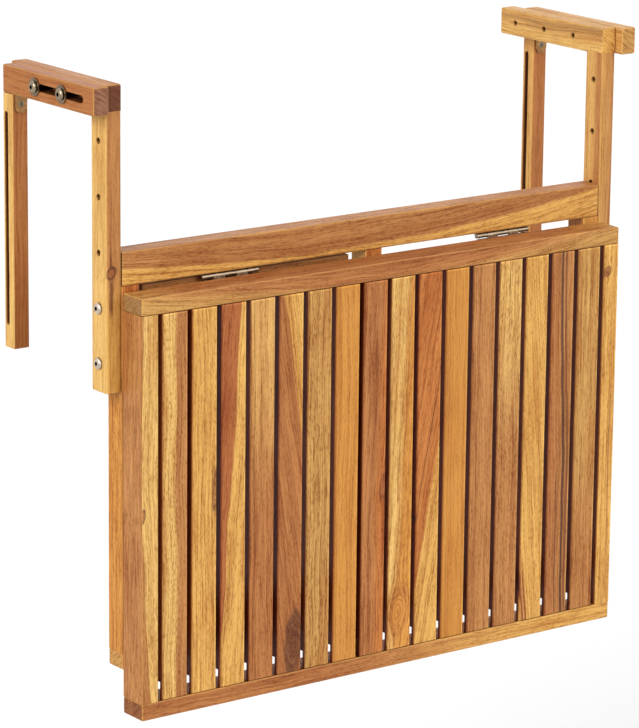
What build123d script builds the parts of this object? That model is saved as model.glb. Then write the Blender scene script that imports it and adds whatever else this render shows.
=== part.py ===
"""Folding balcony table that hangs on a railing: a slatted top folds up from a support frame,
which two pairs of hook arms carry. Millimetres. X runs along the railing, Y points back to it, Z is up.
The origin is at mid-width, level with the railing's top and against its front,
where the arms' undersides meet the front legs' backs."""
import os

from build123d import *

os.makedirs("parts", exist_ok=True)

# Driving dimensions of the table top
TABLE_W = 600.0
TABLE_H = 428.0
TOP_DEPTH = 34.0
RAIL_H = 17.5
SIDE_RAIL_W = 19.0
SLAT_COUNT = 16
SLAT_GAP = 5.5
SLAT_T = 10.0
SLAT_CHAMFER = 1.2
RELIEF_L = 18.0
RELIEF_T = 5.0
TONGUE_L = 5.5
TONGUE_T = 3.0
TONGUE_SETBACK = 1.5
TONGUE_CLEAR = 0.15

# Driving dimensions of the support frame
FRAME_D = 25.0
POST_W = 20.0
WINDOW_H = 372.5
BOTTOM_RAIL_H = 17.0
MIDDLE_POST_X = 5.0

# Driving dimensions of the hooks
LEG_W = 18.0
LEG_D = 27.0
LEG_HOLE_COUNT = 5
LEG_HOLE_FIRST = 27.5
LEG_HOLE_PITCH = 55.0
LEG_HOLE_FOOT = 28.5
LEG_HOLE_R = 3.25
FRAME_BOLT_HOLES = (3, 4)
BOARD_TO_BOLT = 21.5
ARM_H = 28.0
FRONT_ARM_L = 170.0
ARM_HOLE_COUNT = 3
ARM_HOLE_FROM_END = 25.0
ARM_HOLE_PITCH = 48.0
CLAMP_HOLES = (1, 2)
HOUSING = 2.0
REAR_ARM_W = 18.0
REAR_ARM_L = 163.0
REAR_ARM_LEAD = 10.0
REAR_LEG_D = 18.0
REAR_LEG_L = 257.0
REAR_SLOT_W = 6.0
REAR_SLOT_TOP = 18.0
REAR_SLOT_FOOT = 23.0
REAR_SLOT_BACK = 6.5
HOOK_STROKE = 38.0
LEFT_HOOK_OPEN = 4.0
SLIDE_CLEAR = 0.1
SLOT_END_CLEAR = 0.4
SLOT_W = 8.0

# Driving dimensions of the gate
GATE_T = 12.0
GATE_RAIL_H = 30.0
GATE_STILE_W = 30.0
GATE_TOP_CLEAR = 3.0
GATE_FOOT_CLEAR = 5.0
GATE_SIDE_CLEAR = 8.0
GATE_POST_CLEAR = 1.5
GATE_SETBACK = 7.0
GATE_BEARING_L = 20.0
GATE_BEARING_T = 8.0
GATE_BEARING_CLEAR = 0.4
BATTEN_W = 19.0

# Driving dimensions of the hinges and fasteners
STANDOFF = 1.0
OPEN_CLEAR = 0.6
FOLD_HINGE_X = 172.0
FOLD_HINGE_L = 68.0
FOLD_LEAF_W = 19.0
FOLD_SEAT = 3.0
FOLD_BARREL_R = 2.5
FOLD_PIN_R = 1.2
FOLD_SCREW_X = 11.5
FOLD_SCREW_PITCH = 25.0
FOLD_SCREWS = 3
GATE_HINGE_L = 50.0
GATE_HINGE_FROM_RAIL = 32.25
GATE_SEAT = 3.0
GATE_BARREL_R = 2.6
GATE_PIN_R = 1.2
GATE_BATTEN_LEAF_W = 26.0
GATE_BATTEN_SCREW_X = 17.0
GATE_SCREW_X = 7.0
GATE_SCREW_PITCH = 30.0
GATE_SCREWS = 2
KNUCKLES = 5
KNUCKLE_CLEAR = 0.2
LEAF_T = 1.6
LEAF_CLEAR = 0.3
PIN_CLEAR = 0.05
SCREW_HEAD_R = 3.2
SCREW_HEAD_ANGLE = 90.0
SCREW_R = 1.6
SCREW_L = 13.0
SCREW_CROSS_W = 0.9
SCREW_CROSS_L = 3.4
SCREW_CROSS_D = 1.2
FIT_CLEAR = 0.05
BOLT_R = 3.0
BOLT_HEAD_R = 6.0
BOLT_HEAD_H = 3.4
BOLT_HEAD_ROUND = 2.7
BOLT_SOCKET_AF = 4.0
BOLT_SOCKET_D = 2.0
BOLT_GRIP = 14.0
WASHER_R = 9.0
WASHER_T = 1.6
INSERT_R = 4.2
INSERT_L = 12.0
BRACKET_W = 14.0
BRACKET_L = 19.0
BRACKET_T = 2.0
BRACKET_SCREW = 10.0
DOWEL_R = 3.0
DOWEL_L = 24.0
RAIL_DOWEL_DEPTH = 9.0
BRAD_R = 0.6
BRAD_PITCH = 4.5
BRAD_UP = 4.0
BRAD_BACK = 14.5
ARM_DOWEL_BACK = 8.0

# Rounding of wood edges
LEG_ROUND = 3.0
ARM_ROUND = 2.0
RAIL_ROUND = 2.0
SMALL_ROUND = 1.0

# Places worked out from the driving dimensions
frame_x = TABLE_W / 2
arm_x = frame_x + LEG_W
rear_x = arm_x + SLIDE_CLEAR
rear_out_x = rear_x + REAR_ARM_W
front_y = -LEG_D
frame_back_y = front_y + FRAME_D
top_back_y = front_y - STANDOFF
top_face_y = top_back_y - TOP_DEPTH
slat_back_y = top_face_y + SLAT_T
leg_hole_z = [-(LEG_HOLE_FIRST + LEG_HOLE_PITCH * i) for i in range(LEG_HOLE_COUNT)]
leg_foot_z = leg_hole_z[-1] - LEG_HOLE_FOOT
leg_mid_y = -LEG_D / 2
board_z = leg_hole_z[FRAME_BOLT_HOLES[0]] + BOARD_TO_BOLT
board_top_z = board_z + TOP_DEPTH
frame_rail_z = board_z - WINDOW_H
frame_foot_z = frame_rail_z - BOTTOM_RAIL_H
fold_y = top_back_y + FOLD_SEAT
fold_z = board_z - FOLD_SEAT
top_z = fold_z - (FOLD_SEAT - STANDOFF + OPEN_CLEAR)
top_foot_z = top_z - TABLE_H
slat_z = (top_foot_z + RAIL_H, top_z - RAIL_H)
side_in_x = frame_x - SIDE_RAIL_W
slat_w = (2 * side_in_x - SLAT_GAP * (SLAT_COUNT + 1)) / SLAT_COUNT
tongue_y = (top_face_y + TONGUE_SETBACK, top_face_y + TONGUE_SETBACK + TONGUE_T)
arm_end_y = FRONT_ARM_L - LEG_D
arm_hole_y = [arm_end_y - ARM_HOLE_FROM_END - ARM_HOLE_PITCH * i for i in range(ARM_HOLE_COUNT)]
clamp_y = [arm_hole_y[i] for i in CLAMP_HOLES]
arm_mid_z = ARM_H / 2
post_in_x = frame_x - POST_W
middle_x = (MIDDLE_POST_X - POST_W / 2, MIDDLE_POST_X + POST_W / 2)
gate_y = (front_y + GATE_SETBACK, front_y + GATE_SETBACK + GATE_T)
gate_axis_x = middle_x[0] - GATE_POST_CLEAR - GATE_T
gate_x = (-post_in_x + GATE_SIDE_CLEAR, gate_axis_x - GATE_SEAT)
gate_z = (frame_rail_z + GATE_FOOT_CLEAR, board_z - GATE_TOP_CLEAR)
gate_rail_z = (gate_z[0] + GATE_RAIL_H, gate_z[1] - GATE_RAIL_H)
bearing_top_z = fold_z - (fold_y - front_y) - GATE_BEARING_CLEAR
gate_hinge_z = [gate_rail_z[0] + GATE_HINGE_FROM_RAIL, gate_rail_z[1] - GATE_HINGE_FROM_RAIL]
insert_bore_r = INSERT_R + FIT_CLEAR
dowel_bore_r = DOWEL_R + FIT_CLEAR
dowel_half = DOWEL_L / 2 + FIT_CLEAR

SIDES = {"left": -1, "right": 1}
DOWN = (Align.CENTER, Align.CENTER, Align.MAX)
UP = (Align.CENTER, Align.CENTER, Align.MIN)


def block(x, y, z, mode=Mode.ADD):
    """A box between the (low, high) pairs."""
    with Locations(((x[0] + x[1]) / 2, (y[0] + y[1]) / 2, (z[0] + z[1]) / 2)):
        Box(x[1] - x[0], y[1] - y[0], z[1] - z[0], mode=mode)


def bore(places, radius, depth):
    """Round holes down from each place, a plane whose normal points out of the hole's mouth."""
    with Locations(*places):
        Cylinder(radius, depth, align=DOWN, mode=Mode.SUBTRACT)


def save(part, name):
    part.label = name
    export_step(part, f"parts/{name}.step")


def sided(side, inner, outer):
    """The (low, high) pair along X on the left (-1) or right (1) side."""
    return (inner, outer) if side > 0 else (-outer, -inner)


def looking(side, x, y, z):
    """A plane at x on the given side, with its normal pointing away from mid-width."""
    return Plane((side * x, y, z), x_dir=(0, 1, 0), z_dir=(side, 0, 0))


# Dowel places: a plane on the joint's face, whose normal runs along the dowel
post_mid_x = {"left": -(frame_x - POST_W / 2), "right": frame_x - POST_W / 2, "middle": MIDDLE_POST_X}
frame_mid_y = front_y + FRAME_D / 2
frame_dowels_up = [Plane((x, frame_mid_y, board_z)) for x in post_mid_x.values()]
frame_dowels_down = [Plane((x, frame_mid_y, frame_rail_z)) for x in post_mid_x.values()]
arm_dowel_y = front_y + ARM_DOWEL_BACK
arm_dowels = {s: Plane((k * (frame_x + LEG_W / 2), arm_dowel_y, HOUSING)) for s, k in SIDES.items()}
side_mid_x = frame_x - SIDE_RAIL_W / 2
top_mid_y = (top_face_y + top_back_y) / 2
top_dowels_up = [Plane((k * side_mid_x, top_mid_y, slat_z[1])) for k in SIDES.values()]
top_dowels_down = [Plane((k * side_mid_x, top_mid_y, slat_z[0])) for k in SIDES.values()]
gate_mid_y = sum(gate_y) / 2
stile_mid_x = [gate_x[0] + GATE_STILE_W / 2, gate_x[1] - GATE_STILE_W / 2]
gate_dowels_up = [Plane((x, gate_mid_y, gate_rail_z[1])) for x in stile_mid_x]
gate_dowels_down = [Plane((x, gate_mid_y, gate_rail_z[0])) for x in stile_mid_x]


def flipped(places):
    return [Plane(p.origin, x_dir=p.x_dir, z_dir=-p.z_dir) for p in places]


def dowels(places, length_up):
    """A group of dowels, each set so far past its joint's plane."""
    with BuildPart() as group:
        with Locations(*[p.offset(length_up) for p in places]):
            Cylinder(DOWEL_R, DOWEL_L, align=DOWN)
    return group.part


# Hinge frames: local X runs out along the leaf, local Z along the barrel, and the wood lies on the -Y side
fold_at = {s: k * FOLD_HINGE_X for s, k in SIDES.items()}
fold_fixed = [Plane((x, fold_y, fold_z), x_dir=(0, 1, 0), z_dir=(-1, 0, 0)) for x in fold_at.values()]
fold_moving = [Plane((x, fold_y, fold_z), x_dir=(0, 0, -1), z_dir=(1, 0, 0)) for x in fold_at.values()]
gate_fixed = [Plane((gate_axis_x, gate_y[0], z), x_dir=(0, -1, 0), z_dir=(0, 0, 1)) for z in gate_hinge_z]
gate_moving = [Plane((gate_axis_x, gate_y[0], z), x_dir=(0, 1, 0), z_dir=(0, 0, -1)) for z in gate_hinge_z]


def screw_places(frames, seat, along, pitch, count):
    """Planes on the leaves' outer faces, one for each screw."""
    places = []
    for frame in frames:
        for i in range(count):
            at = frame.from_local_coords((along, LEAF_T - seat, pitch * (i - (count - 1) / 2)))
            places.append(Plane(at, z_dir=frame.y_dir))
    return places


fold_fixed_screws = screw_places(fold_fixed, FOLD_SEAT, FOLD_SCREW_X, FOLD_SCREW_PITCH, FOLD_SCREWS)
fold_moving_screws = screw_places(fold_moving, FOLD_SEAT, FOLD_SCREW_X, FOLD_SCREW_PITCH, FOLD_SCREWS)
gate_fixed_screws = screw_places(gate_fixed, GATE_SEAT, GATE_BATTEN_SCREW_X, GATE_SCREW_PITCH, GATE_SCREWS)
gate_moving_screws = screw_places(gate_moving, GATE_SEAT, GATE_SCREW_X, GATE_SCREW_PITCH, GATE_SCREWS)


def countersinks(places, thickness):
    """Screw holes through a plate, for heads level with each place."""
    with Locations(*places):
        CounterSinkHole(SCREW_R + FIT_CLEAR, SCREW_HEAD_R + FIT_CLEAR, thickness, SCREW_HEAD_ANGLE)


def leaves(frames, length, seat, barrel_r, pin_r, width, own, screws):
    """Hinge leaves with every second knuckle, the first one own (0 or 1)."""
    knuckle_l = length / KNUCKLES
    clear_x = barrel_r + LEAF_CLEAR
    with BuildPart() as group:
        for frame in frames:
            with Locations(frame):
                with Locations(((clear_x + width) / 2, LEAF_T / 2 - seat, 0)):
                    Box(width - clear_x, LEAF_T, length)
                for i in range(own, KNUCKLES, 2):
                    mid_z = knuckle_l * (i - (KNUCKLES - 1) / 2)
                    with Locations(((clear_x + LEAF_T) / 2, (LEAF_T - seat - barrel_r) / 2, mid_z)):
                        Box(clear_x + LEAF_T, barrel_r - seat + LEAF_T, knuckle_l - KNUCKLE_CLEAR)
                    with Locations((0, 0, mid_z)):
                        Cylinder(barrel_r, knuckle_l - KNUCKLE_CLEAR)
                Cylinder(pin_r + PIN_CLEAR, length, mode=Mode.SUBTRACT)
        countersinks(screws, LEAF_T)
    return group.part


def pins(frames, radius, length):
    """Hinge pins as long as their barrels."""
    with BuildPart() as group:
        with Locations(*frames):
            Cylinder(radius, length)
    return group.part


def wood_screws(places):
    """Countersunk screws with a cross recess, heads level with each place."""
    with BuildPart() as group:
        with Locations(*places):
            Cone(SCREW_R, SCREW_HEAD_R, SCREW_HEAD_R - SCREW_R, align=DOWN)
            Cylinder(SCREW_R, SCREW_L, align=DOWN)
            for length, width in ((SCREW_CROSS_L, SCREW_CROSS_W), (SCREW_CROSS_W, SCREW_CROSS_L)):
                Box(length, width, SCREW_CROSS_D, align=DOWN, mode=Mode.SUBTRACT)
    return group.part


def screw_pilots(places):
    bore(places, SCREW_R + FIT_CLEAR, SCREW_L + FIT_CLEAR)


def button_bolts(places, length):
    """Button-head bolts with a hexagon socket, the heads standing on each place."""
    with BuildPart() as one:
        Cylinder(BOLT_R, length, align=DOWN)
        Cylinder(BOLT_HEAD_R, BOLT_HEAD_H, align=UP)
        fillet(one.edges().group_by(Axis.Z)[-1], BOLT_HEAD_ROUND)
        with BuildSketch(Plane.XY.offset(BOLT_HEAD_H)):
            RegularPolygon(BOLT_SOCKET_AF / 2, 6, major_radius=False)
        extrude(amount=-BOLT_SOCKET_D, mode=Mode.SUBTRACT)
    with BuildPart() as group:
        with Locations(*places):
            add(one.part)
    return group.part


# Support frame
board_span = (-frame_x, frame_x)
frame_span = (front_y, frame_back_y)
with BuildPart() as top_board:
    block(board_span, frame_span, (board_z, board_top_z))
    fillet(top_board.edges(), RAIL_ROUND)
    bore(flipped(frame_dowels_up), dowel_bore_r, dowel_half)
    screw_pilots(fold_fixed_screws)
save(top_board.part, "top_board")

bolt_z = [leg_hole_z[i] for i in FRAME_BOLT_HOLES]
frame_bolts = {s: [looking(k, frame_x, leg_mid_y, z) for z in bolt_z] for s, k in SIDES.items()}


def make_post(x, bolts):
    """An upright between the board and the bottom rail, with sunk inserts where bolts enter."""
    top_places = [p for p in frame_dowels_up if x[0] < p.origin.X < x[1]]
    foot_places = [p for p in frame_dowels_down if x[0] < p.origin.X < x[1]]
    with BuildPart() as post:
        block(x, frame_span, (frame_rail_z, board_z))
        fillet(post.edges().filter_by(Axis.Z), SMALL_ROUND)
        bore(top_places, dowel_bore_r, dowel_half)
        bore(flipped(foot_places), dowel_bore_r, dowel_half)
        if bolts:
            bore(bolts, insert_bore_r, INSERT_L + FIT_CLEAR)
            bore(bolts, BOLT_R + FIT_CLEAR, BOLT_GRIP + FIT_CLEAR)
    return post.part


save(make_post((-frame_x, -post_in_x), frame_bolts["left"]), "left_post")
save(make_post((post_in_x, frame_x), frame_bolts["right"]), "right_post")
save(make_post(middle_x, []), "middle_post")

with BuildPart() as bottom_rail:
    block(board_span, frame_span, (frame_foot_z, frame_rail_z))
    fillet(bottom_rail.edges(), RAIL_ROUND)
    bore(frame_dowels_down, dowel_bore_r, dowel_half)
save(bottom_rail.part, "bottom_rail")

# Front legs and arms
arm_bolt_places = {s: [looking(k, arm_x, y, arm_mid_z) for y in arm_hole_y] for s, k in SIDES.items()}
brad_y = [front_y + BRAD_BACK, front_y + BRAD_BACK + BRAD_PITCH]
brad_z = HOUSING + BRAD_UP


def make_front_leg(side, k):
    with BuildPart() as leg:
        block(sided(k, frame_x, arm_x), (-LEG_D, 0), (leg_foot_z, HOUSING))
        fillet(leg.edges().filter_by(Axis.Z), LEG_ROUND)
        fillet(leg.edges().group_by(Axis.Z)[0], SMALL_ROUND)
        bore([looking(k, arm_x, leg_mid_y, z) for z in leg_hole_z], LEG_HOLE_R, LEG_W)
        bore([arm_dowels[side]], dowel_bore_r, dowel_half)
    return leg.part


def make_front_arm(side, k):
    with BuildPart() as arm:
        block(sided(k, frame_x, arm_x), (-LEG_D, arm_end_y), (0, ARM_H))
        fillet(arm.edges(), ARM_ROUND)
        block(sided(k, frame_x, arm_x), (-LEG_D, 0), (0, HOUSING), mode=Mode.SUBTRACT)
        bore(arm_bolt_places[side], BOLT_R + FIT_CLEAR, LEG_W)
        bore(arm_bolt_places[side], insert_bore_r, INSERT_L + FIT_CLEAR)
        bore(flipped([arm_dowels[side]]), dowel_bore_r, dowel_half)
        bore([looking(-k, -frame_x, y, brad_z) for y in brad_y], BRAD_R + FIT_CLEAR, LEG_W - SMALL_ROUND)
    return arm.part


for side, k in SIDES.items():
    save(make_front_leg(side, k), f"{side}_front_leg")
    save(make_front_arm(side, k), f"{side}_front_arm")

with BuildPart() as arm_brads:
    for k in SIDES.values():
        with Locations(*[looking(-k, -frame_x, y, brad_z) for y in brad_y]):
            Cylinder(BRAD_R, LEG_W - SMALL_ROUND, align=DOWN)
save(arm_brads.part, "arm_brads")

# Bolts, washers and the inserts that they screw into
leg_bolt_places = [looking(k, arm_x, leg_mid_y, z) for k in SIDES.values() for z in bolt_z]
washer_x = rear_out_x + SLIDE_CLEAR
clamp_places = [looking(k, washer_x, y, arm_mid_z) for k in SIDES.values() for y in clamp_y]
save(button_bolts(leg_bolt_places, LEG_W + BOLT_GRIP), "leg_bolts")
head_places = [p.offset(WASHER_T) for p in clamp_places]
save(button_bolts(head_places, WASHER_T + washer_x - arm_x + BOLT_GRIP), "clamp_bolts")

with BuildPart() as clamp_washers:
    with Locations(*clamp_places):
        Cylinder(WASHER_R, WASHER_T, align=UP)
        Cylinder(BOLT_R + FIT_CLEAR, WASHER_T, align=UP, mode=Mode.SUBTRACT)
save(clamp_washers.part, "clamp_washers")

insert_places = [p for side in SIDES for p in frame_bolts[side] + arm_bolt_places[side]]
with BuildPart() as threaded_inserts:
    with Locations(*insert_places):
        Cylinder(INSERT_R, INSERT_L, align=DOWN)
        Cylinder(BOLT_R + FIT_CLEAR, INSERT_L, align=DOWN, mode=Mode.SUBTRACT)
save(threaded_inserts.part, "threaded_inserts")

all_frame_dowels = frame_dowels_up + frame_dowels_down + list(arm_dowels.values())
save(dowels(all_frame_dowels, DOWEL_L / 2), "frame_dowels")

# Rear arms and legs, which slide along the clamp bolts as one hook
slot_y = (clamp_y[-1] - BOLT_R - SLOT_END_CLEAR - HOOK_STROKE, clamp_y[0] + BOLT_R + SLOT_END_CLEAR)
bracket_mid_x = rear_x + REAR_ARM_W / 2


def bracket_tongue(plane):
    """One leaf of the corner bracket: a strip with a round end and a screw hole, on the given plane."""
    with BuildSketch(plane) as tongue:
        with Locations((0, (BRACKET_L - BRACKET_W / 2) / 2)):
            Rectangle(BRACKET_W, BRACKET_L - BRACKET_W / 2)
        with Locations((0, BRACKET_L - BRACKET_W / 2)):
            Circle(BRACKET_W / 2)
    extrude(tongue.sketch, amount=BRACKET_T)


def make_hook(side, k, opened):
    """The slotted rear arm, the rear leg under its end, and the corner bracket with its screws."""
    arm_front_y = -LEG_D - REAR_ARM_LEAD + opened
    arm_back_y = arm_front_y + REAR_ARM_L
    leg_front_y = arm_back_y - REAR_LEG_D
    across = sided(k, rear_x, rear_out_x)
    corner = (k * bracket_mid_x, leg_front_y, 0)
    leg_leaf = Plane(corner, x_dir=(-1, 0, 0), z_dir=(0, -1, 0))
    arm_leaf = Plane(corner, x_dir=(1, 0, 0), z_dir=(0, 0, -1))
    screws = [
        Plane((corner[0], leg_front_y - BRACKET_T, -BRACKET_SCREW), z_dir=(0, -1, 0)),
        Plane((corner[0], leg_front_y - BRACKET_SCREW, -BRACKET_T), z_dir=(0, 0, -1)),
    ]

    with BuildPart() as arm:
        block(across, (arm_front_y, arm_back_y), (0, ARM_H))
        fillet(arm.edges(), ARM_ROUND)
        with BuildSketch(looking(k, rear_out_x, opened + sum(slot_y) / 2, arm_mid_z)) as slot:
            SlotOverall(slot_y[1] - slot_y[0], SLOT_W)
        extrude(slot.sketch, amount=-REAR_ARM_W, mode=Mode.SUBTRACT)
        screw_pilots(screws[1:])
    save(arm.part, f"{side}_rear_arm")

    slot_l = REAR_LEG_L - REAR_SLOT_TOP - REAR_SLOT_FOOT
    slot_mid_z = -REAR_SLOT_TOP - slot_l / 2
    with BuildPart() as leg:
        block(across, (leg_front_y, arm_back_y), (-REAR_LEG_L, 0))
        fillet(leg.edges().filter_by(Axis.Z), ARM_ROUND)
        fillet(leg.edges().group_by(Axis.Z)[0], SMALL_ROUND)
        with BuildSketch(looking(k, rear_out_x, arm_back_y - REAR_SLOT_BACK, slot_mid_z)) as slit:
            SlotOverall(slot_l, REAR_SLOT_W, rotation=90)
        extrude(slit.sketch, amount=-REAR_ARM_W, mode=Mode.SUBTRACT)
        screw_pilots(screws[:1])
    save(leg.part, f"{side}_rear_leg")

    with BuildPart() as bracket:
        bracket_tongue(leg_leaf)
        bracket_tongue(arm_leaf)
        countersinks(screws, BRACKET_T)
    save(bracket.part, f"{side}_corner_bracket")
    save(wood_screws(screws), f"{side}_bracket_screws")


make_hook("left", SIDES["left"], LEFT_HOOK_OPEN)
make_hook("right", SIDES["right"], 0.0)

# Table top
top_span = (top_face_y, top_back_y)
groove_y = (tongue_y[0] - TONGUE_CLEAR, tongue_y[1] + TONGUE_CLEAR)
groove_x = (-side_in_x, side_in_x)
groove_d = TONGUE_L + TONGUE_CLEAR
rail_dowel_up = RAIL_DOWEL_DEPTH + FIT_CLEAR
side_dowel_down = DOWEL_L - RAIL_DOWEL_DEPTH + FIT_CLEAR

with BuildPart() as hinge_rail:
    block(board_span, top_span, (slat_z[1], top_z))
    fillet(hinge_rail.edges(), RAIL_ROUND)
    block(groove_x, groove_y, (slat_z[1], slat_z[1] + groove_d), mode=Mode.SUBTRACT)
    bore(flipped(top_dowels_up), dowel_bore_r, rail_dowel_up)
    screw_pilots(fold_moving_screws)
save(hinge_rail.part, "hinge_rail")

with BuildPart() as outer_rail:
    block(board_span, top_span, (top_foot_z, slat_z[0]))
    fillet(outer_rail.edges(), RAIL_ROUND)
    block(groove_x, groove_y, (slat_z[0] - groove_d, slat_z[0]), mode=Mode.SUBTRACT)
    bore(top_dowels_down, dowel_bore_r, rail_dowel_up)
save(outer_rail.part, "outer_rail")

for i, (side, k) in enumerate(SIDES.items()):
    with BuildPart() as side_rail:
        block(sided(k, side_in_x, frame_x), top_span, slat_z)
        fillet(side_rail.edges().filter_by(Axis.Z), SMALL_ROUND)
        bore([top_dowels_up[i]], dowel_bore_r, side_dowel_down)
        bore(flipped([top_dowels_down[i]]), dowel_bore_r, side_dowel_down)
    save(side_rail.part, f"{side}_side_rail")

for i in range(SLAT_COUNT):
    slat_left = -side_in_x + SLAT_GAP + i * (slat_w + SLAT_GAP)
    slat_x = (slat_left, slat_left + slat_w)
    with BuildPart() as slat:
        block(slat_x, (top_face_y, slat_back_y), slat_z)
        chamfer(slat.faces().sort_by(Axis.Y)[0].edges(), SLAT_CHAMFER)
        relief_y = (top_face_y + RELIEF_T, slat_back_y)
        block(slat_x, relief_y, (slat_z[0], slat_z[0] + RELIEF_L), mode=Mode.SUBTRACT)
        block(slat_x, tongue_y, (slat_z[0] - TONGUE_L, slat_z[1] + TONGUE_L))
    save(slat.part, f"slat_{i + 1:02d}")

batten_x = (gate_axis_x - GATE_SEAT - BATTEN_W, gate_axis_x - GATE_SEAT)
with BuildPart() as gate_batten:
    block(batten_x, (slat_back_y, top_back_y), slat_z)
    fillet(gate_batten.edges().filter_by(Axis.Z).group_by(Axis.Y)[-1], SMALL_ROUND)
    screw_pilots(gate_fixed_screws)
save(gate_batten.part, "gate_batten")

save(dowels(top_dowels_up + flipped(top_dowels_down), RAIL_DOWEL_DEPTH), "top_dowels")
save(wood_screws(fold_moving_screws + gate_fixed_screws), "top_screws")

# Hinges: the outer knuckles are on the fixed leaves
fold_size = (FOLD_HINGE_L, FOLD_SEAT, FOLD_BARREL_R, FOLD_PIN_R)
save(leaves(fold_fixed, *fold_size, FOLD_LEAF_W, 0, fold_fixed_screws), "fold_hinge_frame_leaves")
save(leaves(fold_moving, *fold_size, FOLD_LEAF_W, 1, fold_moving_screws), "fold_hinge_top_leaves")
save(pins(fold_fixed, FOLD_PIN_R, FOLD_HINGE_L), "fold_hinge_pins")
save(wood_screws(fold_fixed_screws), "frame_screws")
gate_size = (GATE_HINGE_L, GATE_SEAT, GATE_BARREL_R, GATE_PIN_R)
save(leaves(gate_fixed, *gate_size, GATE_BATTEN_LEAF_W, 0, gate_fixed_screws), "gate_hinge_batten_leaves")
save(leaves(gate_moving, *gate_size, GATE_T, 1, gate_moving_screws), "gate_hinge_gate_leaves")
save(pins(gate_fixed, GATE_PIN_R, GATE_HINGE_L), "gate_hinge_pins")
save(wood_screws(gate_moving_screws), "gate_screws")

# Gate that swings down to prop the raised top
with BuildPart() as gate_top_rail:
    block(gate_x, gate_y, (gate_rail_z[1], gate_z[1]))
    fillet(gate_top_rail.edges(), SMALL_ROUND)
    bore(flipped(gate_dowels_up), dowel_bore_r, dowel_half)
save(gate_top_rail.part, "gate_top_rail")

with BuildPart() as gate_bottom_rail:
    block(gate_x, gate_y, (gate_z[0], gate_rail_z[0]))
    fillet(gate_bottom_rail.edges(), SMALL_ROUND)
    bore(gate_dowels_down, dowel_bore_r, dowel_half)
save(gate_bottom_rail.part, "gate_bottom_rail")

gate_stiles = {"gate_free_stile": (gate_x[0], gate_x[0] + GATE_STILE_W),
               "gate_hinge_stile": (gate_x[1] - GATE_STILE_W, gate_x[1])}
for i, (name, x) in enumerate(gate_stiles.items()):
    with BuildPart() as stile:
        block(x, gate_y, gate_rail_z)
        fillet(stile.edges().filter_by(Axis.Z), SMALL_ROUND)
        bore([gate_dowels_up[i]], dowel_bore_r, dowel_half)
        bore(flipped([gate_dowels_down[i]]), dowel_bore_r, dowel_half)
        if name == "gate_hinge_stile":
            screw_pilots(gate_moving_screws)
    save(stile.part, name)

save(dowels(gate_dowels_up + gate_dowels_down, DOWEL_L / 2), "gate_dowels")

bearing_y = (gate_y[1], gate_y[1] + GATE_BEARING_T)
bearing_x = (gate_x[0], gate_x[0] + GATE_STILE_W)
with BuildPart() as gate_foot:
    block(bearing_x, bearing_y, (bearing_top_z - GATE_BEARING_L, bearing_top_z))
    fillet(gate_foot.edges(), SMALL_ROUND)
save(gate_foot.part, "gate_foot")
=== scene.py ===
"""Looks of the folding balcony table: oiled acacia with pale and dark wood, plated steel, a plain studio."""
import math

import bpy
from mathutils import Matrix, Vector


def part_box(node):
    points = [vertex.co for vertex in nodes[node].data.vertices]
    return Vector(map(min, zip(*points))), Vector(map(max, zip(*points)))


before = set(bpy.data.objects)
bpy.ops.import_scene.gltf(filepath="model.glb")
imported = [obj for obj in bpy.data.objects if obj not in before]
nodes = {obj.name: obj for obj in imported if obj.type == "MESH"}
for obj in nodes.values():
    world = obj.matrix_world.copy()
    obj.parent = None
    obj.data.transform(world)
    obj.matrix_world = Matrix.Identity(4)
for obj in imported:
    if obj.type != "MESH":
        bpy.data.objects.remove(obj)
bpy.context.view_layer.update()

MM = 1000.0
WHITE = (1.0, 1.0, 1.0, 1.0)

# Wood tones, as display colours
STRAW = (222, 177, 102)
GOLD = (216, 164, 85)
HONEY = (203, 139, 62)
TAN = (206, 156, 88)
OLIVE = (196, 147, 80)
HAZEL = (162, 121, 74)
BROWN = (181, 123, 68)
COPPER = (192, 119, 58)
SIENNA = (174, 111, 60)
RUSSET = (170, 99, 52)
MAHOGANY = (128, 66, 40)
UMBER = (112, 64, 38)
DUSK = (82, 48, 36)
PLUM = (148, 102, 76)
BEECH = (214, 176, 130)

# What a mark does to the colour under it, for each of its channels
DARK_GRAIN = (0.72, 0.54, 0.40, 1.0)
DEEP_GRAIN = (0.54, 0.37, 0.25, 1.0)
PALE_GRAIN = (1.14, 1.18, 1.22, 1.0)
PORE = (0.66, 0.50, 0.36, 1.0)
# Painted shade on the walls of holes and slots
BORE_SHADE = (0.24, 0.18, 0.14, 1.0)
# Painted shade on the sides of slats down the gaps between them
GAP_SHADE = (0.24, 0.07, 0.01, 1.0)
# Painted shade in the groove where slat and board ends meet their neighbours
SEAM_SHADE = (0.17, 0.09, 0.05, 1.0)
# Painted highlight on the right and top edges of slats
EDGE_HIGHLIGHT = (1.40, 1.48, 1.56, 1.0)
# Painted shade in bolt sockets and at the foot of bolt heads
BOLT_HEAD_SHADE = (0.10, 0.08, 0.07, 1.0)

# Noise: its spread, which takes it from about -1 to 1, and the step that sets each piece's noise apart
NOISE_SPREAD = 3.2
SEED_STEP = 17.3

# How fast noise changes across the grain, into the piece and along the grain, per millimetre
WANDER_RATE = (0.012, 0.02, 0.008)
KNOT_RATE = (0.15, 0.15, 0.08)
BAND_RATE = (0.15, 0.10, 0.003)
LINE_RATE = (0.45, 0.35, 0.006)
FIBRE_RATE = (0.95, 0.95, 0.045)
CLOUD_RATE = (0.05, 0.05, 0.014)
SPECK_RATE = (1.0, 1.0, 0.22)

# Growth rings on sawn ends: how fast they change across and into the piece, and how fast they bend
GROWTH_RATE = (0.7, 0.5)
GROWTH_BEND = 0.1

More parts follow.
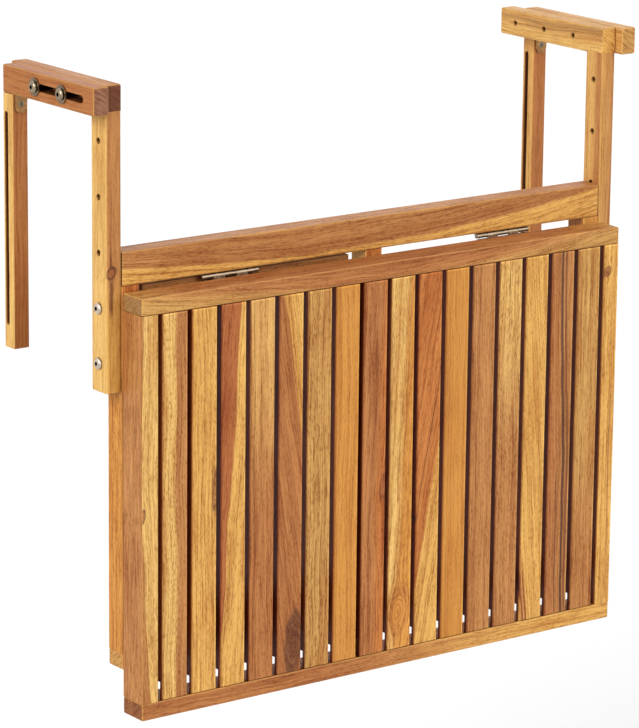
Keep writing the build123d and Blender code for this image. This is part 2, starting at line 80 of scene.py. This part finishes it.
# Knots: their slant, how far they bend the grain, how ragged they are, and how strong core and rings are
KNOT_LEAN = 0.25
KNOT_PULL = 1.15
KNOT_RAGGED = 0.12
KNOT_CORE = 0.8
RING_RATE = 24.0
RING_WAVE = (-0.2, 0.9)
RING_DARK = 0.6

# Where rings, rim and core of a knot begin and where they are full, in its radii
RING_REACH = (1.8, 0.6)
RIM_REACH = (0.4, 0.1)
CORE_REACH = (1.3, 0.4)

# Veins: where they begin and are full, in half widths, how ragged and frayed they are, and their ends in t
VEIN_REACH = (1.2, 0.3)
VEIN_RAGGED = 0.35
VEIN_FRAY = 0.03
VEIN_END = 0.05

# How far the figure wanders, and where marks, painted shade and painted highlights begin and are full, in
# millimetres
WANDER = 3.5
FRONT_REACH = (-2.0, -7.0)
CUT_REACH = (3.0, 1.5)
BORE_SHADE_REACH = (1.2, 1.9)
GAP_SHADE_REACH = (-1.5, 3.0)
HIGHLIGHT_REACH = (2.6, 1.4)
SEAM_SHADE_REACH = (0.9, 0.3)

# Where a face counts as turned to an axis, and from where on it fully does, by its normal's share
FACE_TURN = (0.4, 0.8)
FLANK_TURN = (-0.5, -0.85)
WALL_TURN = (0.3, 0.8)
CUT_TURN = (0.75, 0.95)
FLAT_TURN = (0.80, 0.97)
SOCKET_FLOOR_TURN = (0.90, 0.97)
SOCKET_WALL_TURN = (0.22, 0.12)

# Strength of the wood's marks and finish, of the painted highlight on slat edges, and of the paler edges,
# which are wear and a painted highlight
PORE_DARK = 0.45
GROWTH_DARK = 0.9
HIGHLIGHT_STRENGTH = 0.8
# Paler edges: wear, and also a painted highlight
ARRIS_WEAR_AND_HIGHLIGHT = 0.30
END_DARKER = 0.30
WOOD_ROUGHNESS = 0.52
WOOD_SHEEN = 0.20
WOOD_BUMP = 0.35

# Metal: how fast its noise changes per millimetre, its dull patches, and where the painted shade in sockets
# and at the foot of bolt heads begins
PATCH_RATE = 0.25
DRAWN_RATE = (0.12, 1.4, 1.4)
METAL_DULL = 0.72
METAL_BUMP = 0.25
FOOT_SHADE_REACH = (1.3, 0.5)
SOCKET_BLUR = 0.1
SOCKET_FLOOR_REACH = (0.5, 0.2)

# Depth of all bumps, in metres
BUMP_DEPTH = 0.0003


def linear(tone):
    """A display colour as the linear colour that a shader takes."""
    parts = [c / 255 for c in tone]
    return tuple(c / 12.92 if c <= 0.04045 else ((c + 0.055) / 1.055) ** 2.4 for c in parts) + (1.0,)


class Value:
    """A number that varies over a surface, which sums and products can be written with."""

    def __init__(self, graph, socket):
        self.graph = graph
        self.socket = socket

    def __add__(self, other):
        return self.graph.math("ADD", self, other)

    def __sub__(self, other):
        return self.graph.math("SUBTRACT", self, other)

    def __rsub__(self, other):
        return self.graph.math("SUBTRACT", other, self)

    def __mul__(self, other):
        return self.graph.math("MULTIPLY", self, other)

    def __truediv__(self, other):
        return self.graph.math("DIVIDE", self, other)

    def __rtruediv__(self, other):
        return self.graph.math("DIVIDE", other, self)

    def __abs__(self):
        return self.graph.math("ABSOLUTE", self)

    __radd__ = __add__


class Graph:
    """The nodes of one material."""

    def __init__(self, name):
        self.material = bpy.data.materials.new(name)
        self.material.use_nodes = True
        self.tree = self.material.node_tree
        self.tree.nodes.clear()
        coords = self.tree.nodes.new("ShaderNodeTexCoord")
        self.place = self.split(coords.outputs["Object"])
        self.normal = self.split(coords.outputs["Normal"])

    def feed(self, socket, value):
        if isinstance(value, Value):
            self.tree.links.new(value.socket, socket)
        else:
            socket.default_value = value

    def math(self, operation, *values):
        node = self.tree.nodes.new("ShaderNodeMath")
        node.operation = operation
        for socket, value in zip(node.inputs, values):
            self.feed(socket, value)
        return Value(self, node.outputs[0])

    def most(self, *values):
        """The largest of some values."""
        largest = values[0]
        for value in values[1:]:
            largest = self.math("MAXIMUM", largest, value)
        return largest

    def split(self, socket):
        node = self.tree.nodes.new("ShaderNodeSeparateXYZ")
        self.tree.links.new(socket, node.inputs[0])
        return [Value(self, out) for out in node.outputs]

    def noise(self, x, y, z, detail=2.0):
        """Noise, mostly from -1 to 1."""
        place = self.tree.nodes.new("ShaderNodeCombineXYZ")
        for socket, value in zip(place.inputs, (x, y, z)):
            self.feed(socket, value)
        node = self.tree.nodes.new("ShaderNodeTexNoise")
        node.inputs["Scale"].default_value = 1.0
        node.inputs["Detail"].default_value = detail
        self.tree.links.new(place.outputs[0], node.inputs["Vector"])
        return (Value(self, node.outputs["Fac"]) - 0.5) * NOISE_SPREAD

    def smooth(self, value, start, full):
        """0 before start, 1 past full, and a smooth step between them."""
        node = self.tree.nodes.new("ShaderNodeMapRange")
        node.interpolation_type = "SMOOTHSTEP"
        for name, entry in (("Value", value), ("From Min", start), ("From Max", full)):
            self.feed(node.inputs[name], entry)
        return Value(self, node.outputs["Result"])

    def mix(self, factor, a, b, blend="MIX"):
        node = self.tree.nodes.new("ShaderNodeMix")
        node.data_type = "RGBA"
        node.blend_type = blend
        colour_in = [s for s in node.inputs if s.type == "RGBA"]
        self.feed(node.inputs["Factor"], factor)
        self.feed(colour_in[0], a)
        self.feed(colour_in[1], b)
        return Value(self, next(s for s in node.outputs if s.type == "RGBA"))

    def times(self, colour, mark):
        return self.mix(1.0, colour, mark, "MULTIPLY")

    def marked(self, amount, colour, mark):
        """A colour with a mark over it, as strong as the amount."""
        return self.mix(amount, colour, self.times(colour, mark))

    def finish(self, colour, roughness, height, bump, metallic=0.0, sheen=0.5):
        shader = self.tree.nodes.new("ShaderNodeBsdfPrincipled")
        shader.inputs["Specular IOR Level"].default_value = sheen
        self.feed(shader.inputs["Base Color"], colour)
        self.feed(shader.inputs["Roughness"], roughness)
        shader.inputs["Metallic"].default_value = metallic
        bumped = self.tree.nodes.new("ShaderNodeBump")
        bumped.inputs["Strength"].default_value = bump
        bumped.inputs["Distance"].default_value = BUMP_DEPTH
        self.feed(bumped.inputs["Height"], height)
        self.tree.links.new(bumped.outputs[0], shader.inputs["Normal"])
        out = self.tree.nodes.new("ShaderNodeOutputMaterial")
        self.tree.links.new(shader.outputs[0], out.inputs["Surface"])
        return self.material


def dress(node, material):
    """Gives a CAD node its one material."""
    slots = nodes[node].data.materials
    slots.clear()
    slots.append(material)


# Axes of a piece, for each way its grain can run: across its face, into it, and along the grain
GRAIN_AXES = {"X": (2, 1, 0), "Y": (2, 0, 1), "Z": (0, 1, 2)}


def wood(node, grain, low, high, split=(0.0, 0.0, 0.0), soft=5.0, change=None, flank=None, front=None,
         figure=1.0, pores=1.0, knots=(), veins=(), end=None, gap=None, seam=None):
    """Acacia with one tone below and another above a line across the face.

    The line is at split[0] + split[1] t + split[2] t * t, with t from -1 to 1 along the grain, and the
    figure follows it. With change, the tones meet at that t instead. They blend over soft on either side.
    The flank is the tone of faces that look to -X, their own colour and also painted light, lighter or
    darker for how light falls on that side, and front is their tone towards the front. Figure and pores
    scale the contrast of the grain, and end is the tone of sawn ends. With gap, "both" sides or the "left"
    one darken from front to back as painted shade, with a painted highlight on the right and top edges.
    A seam is a line of painted shade across the face, so far from the ends.
    A knot is (across, along, radius, stretch, how dark its rim is, tone, ring tone).
    A vein is (from the line, half width, first t, last t, strength, tone).
    """
    g = Graph(f"acacia_{node}")
    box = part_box(node)
    seed = float(sorted(nodes).index(node)) * SEED_STEP
    facing = [abs(n) for n in g.normal]
    axes = GRAIN_AXES[grain]
    across, depth, along = [(g.place[i] - (box[0][i] + box[1][i]) / 2) * MM for i in axes]
    half = [(box[1][i] - box[0][i]) / 2 * MM for i in axes]
    t = along / half[2]

    # The line that the figure follows, bent around the knots
    wander = g.noise(across * WANDER_RATE[0] + seed, depth * WANDER_RATE[1], along * WANDER_RATE[2])
    line = across - t * split[1] - t * t * split[2] + wander * WANDER
    marks = []
    for k_across, k_along, radius, stretch, rim_dark, *tones in knots:
        down = (along - k_along) / stretch
        aside = across - k_across - down * KNOT_LEAN
        square = aside * aside + down * down
        pull = radius * radius / (square + radius * radius)
        line = line - aside * pull * KNOT_PULL
        ragged = g.noise(across * KNOT_RATE[0], depth * KNOT_RATE[1], along * KNOT_RATE[2])
        reach = g.math("SQRT", square) + ragged * radius * KNOT_RAGGED
        ring = g.smooth(g.math("SINE", reach * (RING_RATE / radius)), *RING_WAVE)
        rings = ring * g.smooth(reach, *[radius * r for r in RING_REACH])
        rim = g.smooth(abs(reach - radius), *[radius * r for r in RIM_REACH]) * rim_dark
        core = g.smooth(reach, *[radius * r for r in CORE_REACH])
        marks.append((core, g.most(rings * RING_DARK, rim), *tones))

    bands = g.noise(line * BAND_RATE[0] + seed, depth * BAND_RATE[1], along * BAND_RATE[2])
    lines = g.noise(line * LINE_RATE[0] + seed, depth * LINE_RATE[1], along * LINE_RATE[2])
    fibre = g.noise(line * FIBRE_RATE[0], depth * FIBRE_RATE[1] + seed, along * FIBRE_RATE[2])
    cloud = g.noise(across * CLOUD_RATE[0], depth * CLOUD_RATE[1], along * CLOUD_RATE[2] + seed)
    speck = g.noise(line * SPECK_RATE[0], depth * SPECK_RATE[1] + seed, along * SPECK_RATE[2], 1.0)
    pore = g.smooth(speck + cloud * 0.25, 0.15, 0.7)

    # Tones, veins and knots
    if change is None:
        side = g.smooth(line + bands - split[0], -soft, soft)
    else:
        side = g.smooth(t + bands * 0.1 - change, -soft, soft)
    colour = g.mix(side, linear(low), linear(high))
    # The flank tone is the -X faces' own colour and also painted light, lighter or darker for how light
    # falls on that side
    if flank:
        flank_tone = linear(flank)
        if front:
            flank_tone = g.mix(g.smooth(depth + lines * 2.0, *FRONT_REACH), flank_tone, linear(front))
        colour = g.mix(g.smooth(g.normal[0], *FLANK_TURN), colour, flank_tone)
    for offset, half_width, start, stop, strong, tone in veins:
        ragged = abs(line - offset + lines * half_width * VEIN_RAGGED)
        reach = t + fibre * VEIN_FRAY
        begun = g.smooth(reach, start - VEIN_END, start + VEIN_END)
        not_over = g.smooth(reach, stop + VEIN_END, stop - VEIN_END)
        strength = g.smooth(ragged, *[half_width * r for r in VEIN_REACH]) * begun * not_over
        colour = g.mix(strength * strong, colour, linear(tone))
    face = g.smooth(facing[axes[1]], *FACE_TURN)
    for core, rings, tone, ring_tone in marks:
        colour = g.mix(core * face * KNOT_CORE, colour, linear(tone))
        colour = g.mix(rings * face, colour, linear(ring_tone))

    # Grain and pores
    tint = bands * 0.9 + lines * 0.4 + cloud * 0.6
    colour = g.marked(g.smooth(tint, -0.3, 1.0) * 0.8 * figure, colour, DARK_GRAIN)
    colour = g.marked(g.smooth(tint, 0.0, -1.0) * 0.8 * figure, colour, PALE_GRAIN)
    streak = (fibre * 0.75 + lines * 0.6) * figure + speck * 0.4 * pores
    colour = g.marked(g.smooth(streak, -0.25, 1.0) * 0.95, colour, DEEP_GRAIN)
    colour = g.marked(g.smooth(streak, 0.1, -1.0), colour, PALE_GRAIN)
    colour = g.marked(pore * PORE_DARK * pores, colour, PORE)

    # Painted shade on the walls of holes and slots, and sawn ends with growth rings
    from_end = half[2] - abs(along)
    cut = g.smooth(facing[axes[2]], *CUT_TURN) * g.smooth(from_end, *CUT_REACH)
    inside = [h - abs(v) for h, v in zip(half, (across, depth))]
    bore_shade = g.smooth(g.math("MINIMUM", *inside), *BORE_SHADE_REACH) * (1.0 - cut)
    colour = g.marked(bore_shade, colour, BORE_SHADE)
    year = across * GROWTH_RATE[0] + depth * GROWTH_RATE[1] + seed
    growth = g.smooth(g.noise(year, depth * GROWTH_BEND, seed), -0.2, 0.5)
    end_tone = linear(end) if end else g.times(colour, (1 - END_DARKER,) * 3 + (1.0,))
    colour = g.mix(cut, colour, g.marked(growth * GROWTH_DARK, end_tone, DEEP_GRAIN))

    # Edges: on slats, painted shade down the gaps and a painted highlight on the right and top edges;
    # elsewhere, paler edges that are wear and also a painted highlight
    if gap:
        wall = facing[0] if gap == "both" else g.normal[0] * -1.0
        # Painted shade: the sides in the gaps darken from front to back
        gap_shade = g.smooth(depth + half[1], *GAP_SHADE_REACH) * g.smooth(wall, *WALL_TURN)
        colour = g.marked(gap_shade, colour, GAP_SHADE)
        top = half[2] - (seam or 0.0)
        # Painted highlight along the right and top edges
        highlight_side = g.smooth(across, *[half[0] - r for r in HIGHLIGHT_REACH])
        highlight_top = g.smooth(along, *[top - r for r in HIGHLIGHT_REACH])
        colour = g.marked(g.most(highlight_side, highlight_top) * face * HIGHLIGHT_STRENGTH, colour, EDGE_HIGHLIGHT)
    else:
        # Paler edges, which are wear and also a painted highlight
        arris = 1.0 - g.smooth(g.most(*facing), *FLAT_TURN)
        colour = g.mix(arris * ARRIS_WEAR_AND_HIGHLIGHT, colour, linear(STRAW))
    # Painted shade: a dark line in the groove near the ends
    if seam is not None:
        colour = g.marked(g.smooth(from_end, *[seam + r for r in SEAM_SHADE_REACH]), colour, SEAM_SHADE)

    roughness = WOOD_ROUGHNESS + fibre * 0.06 + pore * 0.10 + cloud * 0.05
    height = fibre * 0.5 - pore + lines * 0.2
    dress(node, g.finish(colour, roughness, height, WOOD_BUMP, sheen=WOOD_SHEEN))


def metal(name, members, tone, roughness, streak, head=None):
    """Plated steel with faint drawing lines and rubbed patches.

    Bolts along X have a head, which is its height and the depth of its socket in millimetres, with painted
    shade in the socket and at the head's foot.
    """
    g = Graph(name)
    x, y, z = [v * MM for v in g.place]
    patch = g.noise(x * PATCH_RATE, y * PATCH_RATE, z * PATCH_RATE, 3.0)
    drawn = g.noise(x * DRAWN_RATE[0], y * DRAWN_RATE[1], z * DRAWN_RATE[2])
    dull = tuple(c * METAL_DULL for c in linear(tone)[:3]) + (1.0,)
    colour = g.mix(g.smooth(patch + drawn * streak, -0.5, 0.6), dull, linear(tone))
    if head:
        height, depth = head
        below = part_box(members[0])[1][0] * MM - abs(x)
        facing = abs(g.normal[0])
        at_floor = g.smooth(abs(below - depth), *SOCKET_FLOOR_REACH)
        socket_floor = g.smooth(facing, *SOCKET_FLOOR_TURN) * at_floor
        above_floor = g.smooth(below, depth + SOCKET_BLUR, depth - SOCKET_BLUR)
        socket_wall = g.smooth(facing, *SOCKET_WALL_TURN) * above_floor
        foot = g.smooth(below, *[height - r for r in FOOT_SHADE_REACH])
        # Painted shade in the socket and at the head's foot
        colour = g.marked(g.most(socket_floor, socket_wall, foot), colour, BOLT_HEAD_SHADE)
    rough = roughness + patch * 0.08 + drawn * streak * 0.06
    material = g.finish(colour, rough, drawn * streak + patch * 0.4, METAL_BUMP, 1.0)
    for node in members:
        dress(node, material)


# Slats from left to right: the tones left and right of the line, the line, its softness, and what marks it
SLAT_TONGUE = 5.5
SLATS = [
    dict(low=STRAW, high=BROWN, split=(1.5, 0.5, 0.0), soft=2.5, pores=1.5),
    dict(low=GOLD, high=GOLD, knots=[(12.5, 10.0, 3.0, 6.0, 0.7, BROWN, UMBER)]),
    dict(low=RUSSET, high=GOLD, split=(-4.0, 13.0, 0.0), soft=0.9),
    dict(low=SIENNA, high=TAN, change=0.25, soft=0.45, figure=1.2),
    dict(low=SIENNA, high=GOLD, split=(24.0, -34.0, 0.0), soft=4.0,
         knots=[(5.0, -166.0, 9.0, 3.2, 0.6, UMBER, DUSK)]),
    dict(low=OLIVE, high=OLIVE, figure=1.2, pores=1.2),
    dict(low=HONEY, high=HONEY, figure=0.7, pores=0.6),
    dict(low=SIENNA, high=COPPER, split=(6.0, 5.0, 0.0), soft=5.0, figure=1.2,
         knots=[(11.5, -20.0, 4.0, 3.0, 0.6, RUSSET, UMBER)]),
    dict(low=STRAW, high=HONEY, split=(2.0, 10.0, 0.0), soft=6.0,
         knots=[(-2.5, -157.0, 12.0, 1.8, 0.35, HONEY, RUSSET)]),
    dict(low=COPPER, high=GOLD, split=(10.0, 37.0, 0.0), soft=1.5,
         veins=[(-4.0, 0.8, -0.9, 0.9, 0.7, UMBER)]),
    dict(low=HONEY, high=HONEY, figure=0.6, pores=0.5),
    dict(low=BROWN, high=BROWN),
    dict(low=BROWN, high=STRAW, change=0.35, soft=0.55, pores=1.3,
         veins=[(-2.0, 1.0, 0.78, 0.9, 0.7, UMBER)]),
    dict(low=GOLD, high=GOLD, split=(0.0, -16.0, 0.0),
         veins=[(-25.0, 4.5, -1.2, -0.62, 0.6, RUSSET), (-23.0, 1.3, -1.2, -0.70, 0.9, MAHOGANY),
                (-27.5, 1.3, -1.2, -0.64, 0.9, MAHOGANY)]),
    dict(low=SIENNA, high=BROWN, split=(-6.0, -5.0, 0.0), soft=6.0,
         veins=[(3.0, 2.2, -1.2, 1.2, 0.9, DUSK), (8.0, 1.6, -1.2, 1.2, 0.8, UMBER),
                (-6.0, 1.2, -1.2, -0.2, 0.8, UMBER)]),
    dict(low=BROWN, high=OLIVE, change=-0.3, soft=0.5, figure=1.2),
]
# Slats get painted shade in their gaps and a painted highlight on their right and top edges
for i, look in enumerate(SLATS):
    wood(f"slat_{i + 1:02d}", "Z", gap="both", seam=SLAT_TONGUE, **look)

# Rim of the top and the support frame
wood("left_side_rail", "Z", BROWN, STRAW, split=(-10.0, -6.5, 6.5), soft=0.8, flank=BROWN,
     knots=[(-8.5, -4.0, 2.5, 2.5, 0.8, RUSSET, UMBER)])
# The right side rail gets painted shade on its left side, in the last gap
wood("right_side_rail", "Z", GOLD, GOLD, gap="left", knots=[(-5.0, 168.0, 4.0, 1.2, 0.7, RUSSET, UMBER)],
     veins=[(4.0, 0.8, -0.7, 0.2, 0.6, UMBER)])
wood("hinge_rail", "X", OLIVE, SIENNA, split=(-11.0, 0.0, 24.0), soft=8.0, figure=1.1, end=HAZEL)
wood("outer_rail", "X", SIENNA, GOLD, change=0.28, soft=0.5)
wood("top_board", "X", GOLD, BROWN, split=(-12.0, 6.5, 19.5), soft=1.6, seam=0.0)
wood("bottom_rail", "X", TAN, COPPER, split=(0.0, 6.0, 0.0), soft=6.0, end=OLIVE)
wood("left_post", "Z", COPPER, COPPER, flank=HONEY, figure=1.2)
wood("right_post", "Z", GOLD, HONEY, split=(2.0, 2.0, 0.0), soft=4.0, flank=BROWN)
wood("middle_post", "Z", COPPER, COPPER, flank=STRAW)

# Hooks, whose wood is calmer
CALM = dict(figure=0.7, pores=0.5)
# Its lower part is GOLD, lighter than above: painted light that offsets the shade the top casts there
wood("left_front_leg", "Z", GOLD, BROWN, change=-0.35, soft=0.3, flank=STRAW,
     knots=[(-3.0, -19.0, 4.6, 1.15, 0.95, RUSSET, UMBER)],
     veins=[(-3.5, 2.4, -0.42, -0.18, 0.85, UMBER), (-2.0, 1.5, -0.12, 0.0, 0.7, UMBER)], **CALM)
wood("right_front_leg", "Z", TAN, BROWN, split=(1.0, 1.0, 0.0), flank=TAN, front=BROWN, **CALM)
wood("left_front_arm", "Y", SIENNA, BROWN, end=UMBER, **CALM)
wood("right_front_arm", "Y", STRAW, TAN, split=(-4.0, -2.0, 0.0), figure=0.8, pores=0.5, end=GOLD,
     veins=[(3.0, 2.5, -1.2, 0.5, 0.3, UMBER), (8.0, 3.0, -1.2, 1.2, 0.45, UMBER)])
wood("left_rear_arm", "Y", SIENNA, SIENNA, end=PLUM, **CALM)
wood("right_rear_arm", "Y", TAN, TAN, end=OLIVE, pores=0.5)
wood("left_rear_leg", "Z", SIENNA, SIENNA, flank=STRAW, **CALM)
wood("right_rear_leg", "Z", SIENNA, SIENNA, flank=TAN, **CALM)

# Gate and its batten, and the hidden dowels
for node in ("gate_top_rail", "gate_bottom_rail"):
    wood(node, "X", COPPER, BROWN, soft=8.0)
for node in ("gate_hinge_stile", "gate_free_stile", "gate_batten", "gate_foot"):
    wood(node, "Z", BROWN, TAN, soft=8.0)
for node in ("frame_dowels", "top_dowels", "gate_dowels"):
    wood(node, "Z", BEECH, BEECH, figure=0.5)

# Metal: tone, roughness and how strong the drawing lines are
BOLT_HEAD = (3.4, 2.0)
SCREWS = ["frame_screws", "top_screws", "gate_screws", "left_bracket_screws", "right_bracket_screws"]
HINGES = ["fold_hinge_frame_leaves", "fold_hinge_top_leaves", "fold_hinge_pins",
          "gate_hinge_batten_leaves", "gate_hinge_gate_leaves", "gate_hinge_pins"]
metal("dark_nickel", ["clamp_bolts"], (160, 142, 118), 0.20, 0.3, BOLT_HEAD)
metal("washer_nickel", ["clamp_washers"], (134, 116, 94), 0.20, 0.3)
metal("pale_nickel", ["leg_bolts"], (216, 198, 178), 0.30, 0.3, BOLT_HEAD)
metal("screw_steel", SCREWS, (132, 118, 98), 0.30, 0.3)
metal("dark_steel", ["arm_brads"], (64, 52, 42), 0.50, 0.3)
metal("hinge_steel", HINGES, (142, 126, 106), 0.26, 0.8)
metal("zinc", ["left_corner_bracket", "right_corner_bracket"], (160, 118, 74), 0.30, 0.6)
metal("brass", ["threaded_inserts"], (74, 54, 36), 0.35, 0.4)

# Studio: a pale floor a railing's height below, soft lamps, and a white background
FLOOR_Z = -1.0
FLOOR_HALF = 30.0
FLOOR_COLOUR = (0.86, 0.86, 0.86, 1.0)
FLOOR_GLOW = 0.18
AMBIENT = 0.18
mesh = bpy.data.meshes.new("floor")
corners = [(-1, -1), (1, -1), (1, 1), (-1, 1)]
mesh.from_pydata([(x * FLOOR_HALF, y * FLOOR_HALF, FLOOR_Z) for x, y in corners], [], [(0, 1, 2, 3)])
floor = bpy.data.objects.new("floor", mesh)
bpy.context.scene.collection.objects.link(floor)


def seen_directly(tree):
    """1 where a camera, glossy or transmission ray arrives."""
    path = tree.nodes.new("ShaderNodeLightPath")
    total = path.outputs["Is Camera Ray"]
    for name in ("Is Glossy Ray", "Is Transmission Ray"):
        either = tree.nodes.new("ShaderNodeMath")
        either.operation = "MAXIMUM"
        tree.links.new(total, either.inputs[0])
        tree.links.new(path.outputs[name], either.inputs[1])
        total = either.outputs[0]
    return total


floor_look = bpy.data.materials.new("pale_floor")
floor_look.use_nodes = True
tree = floor_look.node_tree
tree.nodes.clear()
diffuse = tree.nodes.new("ShaderNodeBsdfDiffuse")
diffuse.inputs["Color"].default_value = FLOOR_COLOUR
glow = tree.nodes.new("ShaderNodeEmission")
glow.inputs["Color"].default_value = WHITE
lift = tree.nodes.new("ShaderNodeMath")
lift.operation = "MULTIPLY"
lift.inputs[1].default_value = FLOOR_GLOW
tree.links.new(seen_directly(tree), lift.inputs[0])
tree.links.new(lift.outputs[0], glow.inputs["Strength"])
both = tree.nodes.new("ShaderNodeAddShader")
tree.links.new(diffuse.outputs[0], both.inputs[0])
tree.links.new(glow.outputs[0], both.inputs[1])
out = tree.nodes.new("ShaderNodeOutputMaterial")
tree.links.new(both.outputs[0], out.inputs["Surface"])
mesh.materials.append(floor_look)

world = bpy.data.worlds.new("studio")
bpy.context.scene.world = world
world.use_nodes = True
tree = world.node_tree
tree.nodes.clear()
background = tree.nodes.new("ShaderNodeBackground")
background.inputs["Color"].default_value = WHITE
level = tree.nodes.new("ShaderNodeMapRange")
level.inputs["To Min"].default_value = AMBIENT
level.inputs["To Max"].default_value = 1.0
tree.links.new(seen_directly(tree), level.inputs["Value"])
tree.links.new(level.outputs["Result"], background.inputs["Strength"])
out = tree.nodes.new("ShaderNodeOutputWorld")
tree.links.new(background.outputs[0], out.inputs["Surface"])


def sun(name, azimuth, height, strength, softness):
    """A soft far light. The azimuth is seen from above, from the front towards the right, in degrees."""
    data = bpy.data.lights.new(name, "SUN")
    data.energy = strength
    data.angle = math.radians(softness)
    light = bpy.data.objects.new(name, data)
    turn, rise = math.radians(azimuth), math.radians(height)
    towards = Vector((math.sin(turn) * math.cos(rise), -math.cos(turn) * math.cos(rise), math.sin(rise)))
    light.rotation_mode = "QUATERNION"
    light.rotation_quaternion = (-towards).to_track_quat("-Z", "Y")
    bpy.context.scene.collection.objects.link(light)


sun("side", -70.0, 30.0, 2.7, 40.0)
sun("front", 30.0, 25.0, 1.55, 50.0)
sun("back", 150.0, 40.0, 0.9, 50.0)

# Camera, fitted to edges in the photo
CAMERA_PLACE = (-2.3681, -3.1601, 0.6963)
CAMERA_YAW = math.radians(36.355)
CAMERA_PITCH = math.radians(14.103)
CAMERA_ROLL = math.radians(0.611)
CAMERA_SENSOR = 36.0
CAMERA_LENS = 196.91
CAMERA_REACH = 200.0
camera_data = bpy.data.cameras.new("camera")
camera_data.sensor_width = CAMERA_SENSOR
camera_data.lens = CAMERA_LENS
camera_data.clip_end = CAMERA_REACH
camera = bpy.data.objects.new("camera", camera_data)
camera.matrix_world = (
    Matrix.Translation(CAMERA_PLACE)
    @ Matrix.Rotation(-CAMERA_YAW, 4, "Z")
    @ Matrix.Rotation(math.pi / 2 - CAMERA_PITCH, 4, "X")
    @ Matrix.Rotation(CAMERA_ROLL, 4, "Z")
)
bpy.context.scene.collection.objects.link(camera)
bpy.context.scene.camera = camera
bpy.context.scene.view_settings.view_transform = "Standard"
